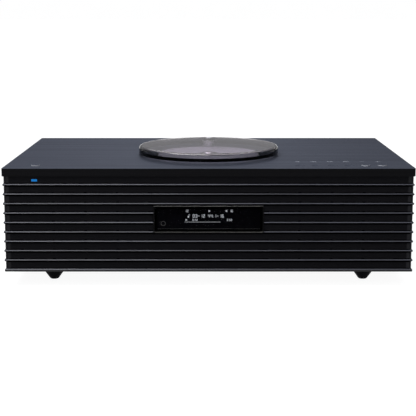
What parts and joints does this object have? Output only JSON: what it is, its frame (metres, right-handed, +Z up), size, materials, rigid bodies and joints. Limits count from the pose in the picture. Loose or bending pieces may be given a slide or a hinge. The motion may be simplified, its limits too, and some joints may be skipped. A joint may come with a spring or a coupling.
{
  "type": "micro hi-fi system",
  "caption": "Low wide one-box music system with finned walls, front display, top-plate keys, and a top-loading disc well under a round clear lid that swings aside on a post.",
  "frame": {"origin": "centre of the footprint on the surface that the feet stand on", "axes": "+X to the right along the width, +Y to the rear, +Z up; the display faces -Y"},
  "size_m": [0.45, 0.28, 0.143],
  "materials": {
    "plate": "brushed dark anodised",
    "fins": "satin black",
    "cloth": "woven acoustic cloth",
    "baffle": "moulded",
    "panel": "fine black texture",
    "foot": "satin black",
    "steel": "bright",
    "bezel": "satin",
    "window": "smoked gloss",
    "screen": "dark display",
    "circuit": "solder mask",
    "light": "diffuse light pipe",
    "button": "turned dimple",
    "lid": "smoked clear",
    "disc": "silver lacquer",
    "silver": "spun satin",
    "deck": "moulded",
    "chassis": "zinc",
    "rubber": "soft",
    "motor": "plated can",
    "hub": "moulded",
    "lens": "coated",
    "driver": "black steel and magnet",
    "cone": "pressed pulp",
    "socket": "moulded"
  },
  "bodies": {
    "case": {"top_panel": "plate", "front_grille": "fins", "left_grille": "fins", "right_grille": "fins", "grille_cloth": "cloth", "front_baffle": "baffle", "rear_panel": "panel", "bottom_plate": "panel", "feet": "foot", "foot_screws": "steel", "rear_screws": "steel", "display_frame": "bezel", "display_window": "window", "display_panel": "screen", "display_board": "circuit", "power_led": "light", "power_key_board": "circuit", "key_board": "circuit", "lid_post": "steel", "lid_nut": "steel", "disc_well": "deck", "well_floor": "silver", "mech_chassis": "chassis", "mech_grommets": "rubber", "mech_screws": "steel", "spindle_motor": "motor", "guide_rods": "steel", "sled_motor": "motor", "woofer_frame_left": "driver", "woofer_frame_right": "driver", "woofer_surround_left": "rubber", "woofer_surround_right": "rubber", "tweeter_left": "driver", "tweeter_right": "driver", "subwoofer_frame": "driver", "subwoofer_surround": "rubber", "bass_port": "socket", "main_board": "circuit", "power_board": "circuit", "ac_inlet": "socket", "lan_jack": "steel", "usb_port": "steel", "aux_jack": "socket", "antenna_jack": "steel"},
    "lid": {"lid_cover": "lid", "lid_ring": "lid"},
    "hub": {"disc_hub": "hub", "spindle_shaft": "steel", "disc": "disc"},
    "pickup": {"pickup_sled": "deck", "pickup_lens": "lens"},
    "screw": {"lead_screw": "steel"},
    "woofer_left": {"woofer_cone_left": "cone"},
    "woofer_right": {"woofer_cone_right": "cone"},
    "subwoofer": {"subwoofer_cone": "cone"},
    "key_power": {"button_power": "button"},
    "key_input": {"button_input": "button"},
    "key_previous": {"button_previous": "button"},
    "key_play": {"button_play": "button"},
    "key_next": {"button_next": "button"},
    "key_volume_down": {"button_volume_down": "button"},
    "key_volume_up": {"button_volume_up": "button"}
  },
  "joints": [
    {"name": "lid_swing", "type": "hinge", "parent": "case", "child": "lid", "pos_m": [0, 0.052, 0.14], "axis": [0, 0, 1], "range_deg": [0, 130]},
    {"name": "disc_spin", "type": "hinge", "parent": "case", "child": "hub", "pos_m": [0, -0.019, 0.125], "axis": [0, 0, 1], "continuous": true},
    {"name": "pickup_slide", "type": "slide", "parent": "case", "child": "pickup", "axis": [0, -1, 0], "range_m": [0, 0.035]},
    {"name": "screw_spin", "type": "hinge", "parent": "case", "child": "screw", "pos_m": [0.033, -0.06, 0.115], "axis": [0, 1, 0], "continuous": true},
    {"name": "power_press", "type": "slide", "parent": "case", "child": "key_power", "axis": [0, 0, -1], "range_m": [0, 0.0008], "stiffness_N_per_m": 1500},
    {"name": "input_press", "type": "slide", "parent": "case", "child": "key_input", "axis": [0, 0, -1], "range_m": [0, 0.0008], "stiffness_N_per_m": 1500},
    {"name": "previous_press", "type": "slide", "parent": "case", "child": "key_previous", "axis": [0, 0, -1], "range_m": [0, 0.0008], "stiffness_N_per_m": 1500},
    {"name": "play_press", "type": "slide", "parent": "case", "child": "key_play", "axis": [0, 0, -1], "range_m": [0, 0.0008], "stiffness_N_per_m": 1500},
    {"name": "next_press", "type": "slide", "parent": "case", "child": "key_next", "axis": [0, 0, -1], "range_m": [0, 0.0008], "stiffness_N_per_m": 1500},
    {"name": "volume_down_press", "type": "slide", "parent": "case", "child": "key_volume_down", "axis": [0, 0, -1], "range_m": [0, 0.0008], "stiffness_N_per_m": 1500},
    {"name": "volume_up_press", "type": "slide", "parent": "case", "child": "key_volume_up", "axis": [0, 0, -1], "range_m": [0, 0.0008], "stiffness_N_per_m": 1500},
    {"name": "woofer_left_throw", "type": "slide", "parent": "case", "child": "woofer_left", "axis": [0, -1, 0], "range_m": [-0.0015, 0.0015], "stiffness_N_per_m": 1500},
    {"name": "woofer_right_throw", "type": "slide", "parent": "case", "child": "woofer_right", "axis": [0, -1, 0], "range_m": [-0.0015, 0.0015], "stiffness_N_per_m": 1500},
    {"name": "subwoofer_throw", "type": "slide", "parent": "case", "child": "subwoofer", "axis": [0, 0, -1], "range_m": [-0.0025, 0.0025], "stiffness_N_per_m": 2500}
  ],
  "couplings": [
    {"joint": "screw_spin", "follows": "pickup_slide", "rad_per_m": 2094.4}
  ]
}
